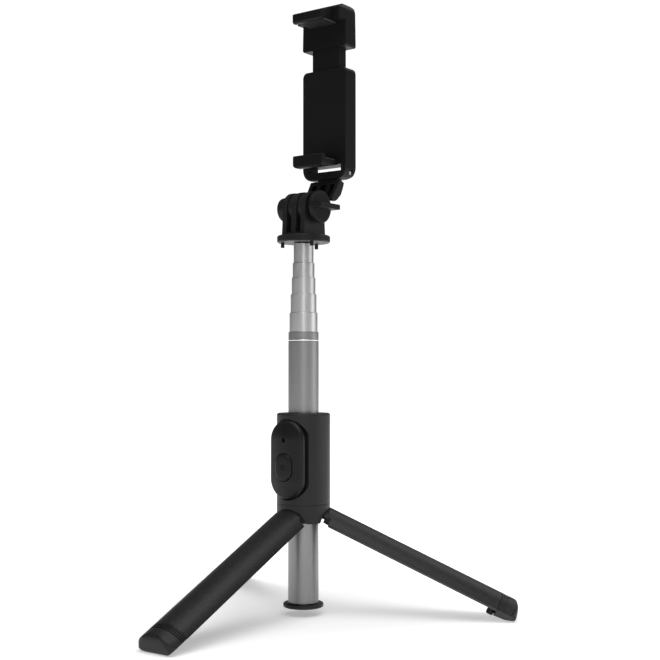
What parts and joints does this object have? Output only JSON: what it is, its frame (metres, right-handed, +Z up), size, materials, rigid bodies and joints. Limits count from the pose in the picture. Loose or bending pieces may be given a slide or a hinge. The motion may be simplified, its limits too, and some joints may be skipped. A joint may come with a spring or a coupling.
{
  "type": "selfie stick",
  "caption": "Telescopic selfie stick that opens into a three-legged table stand, with a spring phone clamp and a clip-on remote.",
  "frame": {"origin": "centre of the bounding box on the floor, under the space between the pole and the front leg", "axes": "+Z up along the pole; -Y is the front, towards the front leg and the remote; +X is the thumb screw's side"},
  "size_m": [0.1926, 0.1686, 0.3135],
  "materials": {
    "black_plastic": "satin",
    "dark_plastic": "matte",
    "rubber": "matte",
    "tube_steel": "satin",
    "fastener_steel": "bright",
    "sleeve_plastic": "satin",
    "circuit_board": "satin",
    "dark_lens": "gloss"
  },
  "bodies": {
    "dock": {"dock_housing": "black_plastic", "leg_hub": "black_plastic", "friction_ring": "sleeve_plastic", "hinge_pin_front": "fastener_steel", "hinge_pin_right": "fastener_steel", "hinge_pin_left": "fastener_steel"},
    "leg_front": {"leg_front": "black_plastic", "foot_front": "rubber", "foot_peg_front": "dark_plastic"},
    "leg_right": {"leg_right": "black_plastic", "foot_right": "rubber", "foot_peg_right": "dark_plastic"},
    "leg_left": {"leg_left": "black_plastic", "foot_left": "rubber", "foot_peg_left": "dark_plastic"},
    "main_tube": {"main_tube": "tube_steel", "base_flange": "dark_plastic", "tube_collar": "tube_steel"},
    "inner_tube_1": {"inner_tube_1": "tube_steel"},
    "inner_tube_2": {"inner_tube_2": "tube_steel"},
    "inner_tube_3": {"inner_tube_3": "tube_steel"},
    "inner_tube_4": {"inner_tube_4": "tube_steel"},
    "inner_tube_5": {"inner_tube_5": "tube_steel", "top_plug": "dark_plastic"},
    "head": {"head_clevis": "black_plastic", "hex_nut": "fastener_steel"},
    "thumb_screw": {"thumb_screw": "dark_plastic"},
    "neck": {"neck_bracket": "black_plastic"},
    "clamp": {"clamp_base": "black_plastic", "clamp_back_cover": "black_plastic", "lower_pad": "rubber", "clamp_hinge_pin": "fastener_steel", "clamp_spring_left": "fastener_steel", "clamp_spring_right": "fastener_steel"},
    "jaw": {"upper_jaw": "black_plastic", "upper_pad": "rubber"},
    "remote": {"remote_front_shell": "black_plastic", "remote_back_shell": "black_plastic", "led_lens": "dark_lens", "shutter_switch": "fastener_steel", "circuit_board": "circuit_board", "coin_cell": "fastener_steel"},
    "remote_button": {"remote_button": "dark_plastic"}
  },
  "joints": [
    {"name": "main_tube_slide", "type": "slide", "parent": "dock", "child": "main_tube", "axis": [0, 0, 1], "range_m": [-0.043, 0.04]},
    {"name": "inner_tube_1_slide", "type": "slide", "parent": "main_tube", "child": "inner_tube_1", "axis": [0, 0, 1], "range_m": [-0.0093, 0.1]},
    {"name": "inner_tube_2_slide", "type": "slide", "parent": "inner_tube_1", "child": "inner_tube_2", "axis": [0, 0, 1], "range_m": [-0.0088, 0.1]},
    {"name": "inner_tube_3_slide", "type": "slide", "parent": "inner_tube_2", "child": "inner_tube_3", "axis": [0, 0, 1], "range_m": [-0.008, 0.1]},
    {"name": "inner_tube_4_slide", "type": "slide", "parent": "inner_tube_3", "child": "inner_tube_4", "axis": [0, 0, 1], "range_m": [-0.007, 0.1]},
    {"name": "inner_tube_5_slide", "type": "slide", "parent": "inner_tube_4", "child": "inner_tube_5", "axis": [0, 0, 1], "range_m": [-0.0098, 0.1]},
    {"name": "head_swivel", "type": "hinge", "parent": "inner_tube_5", "child": "head", "pos_m": [0, 0.02273, 0.189], "axis": [0, 0, 1], "range_deg": [-120, 120]},
    {"name": "thumb_screw_turn", "type": "hinge", "parent": "head", "child": "thumb_screw", "pos_m": [0, 0.02273, 0.2052], "axis": [1, 0, 0], "range_deg": [0, 360]},
    {"name": "knuckle_tilt", "type": "hinge", "parent": "head", "child": "neck", "pos_m": [0, 0.02273, 0.2052], "axis": [1, 0, 0], "range_deg": [-35, 100]},
    {"name": "clamp_tilt", "type": "hinge", "parent": "neck", "child": "clamp", "pos_m": [0, 0.04563, 0.2251], "axis": [-1, 0, 0], "range_deg": [0, 90]},
    {"name": "jaw_slide", "type": "slide", "parent": "clamp", "child": "jaw", "axis": [0, 0, 1], "range_m": [-0.0105, 0.012], "stiffness_N_per_m": 150, "springref_m": -0.0005, "deforming": ["clamp_spring_left", "clamp_spring_right"]},
    {"name": "remote_lift_off", "type": "slide", "parent": "dock", "child": "remote", "axis": [0, -1, 0], "range_m": [0, 0.03]},
    {"name": "button_press", "type": "slide", "parent": "remote", "child": "remote_button", "axis": [0, 1, 0], "range_m": [0, 0.00035], "stiffness_N_per_m": 800, "springref_m": -0.0003},
    {"name": "leg_front_fold", "type": "hinge", "parent": "dock", "child": "leg_front", "pos_m": [0, 0.01223, 0.0517], "axis": [-1, 0, 0], "range_deg": [-64.4, 0]},
    {"name": "leg_right_fold", "type": "hinge", "parent": "dock", "child": "leg_right", "pos_m": [0.00909, 0.02798, 0.0517], "axis": [0.5, -0.866, 0], "range_deg": [-64.4, 0]},
    {"name": "leg_left_fold", "type": "hinge", "parent": "dock", "child": "leg_left", "pos_m": [-0.00909, 0.02798, 0.0517], "axis": [0.5, 0.866, 0], "range_deg": [-64.4, 0]}
  ]
}
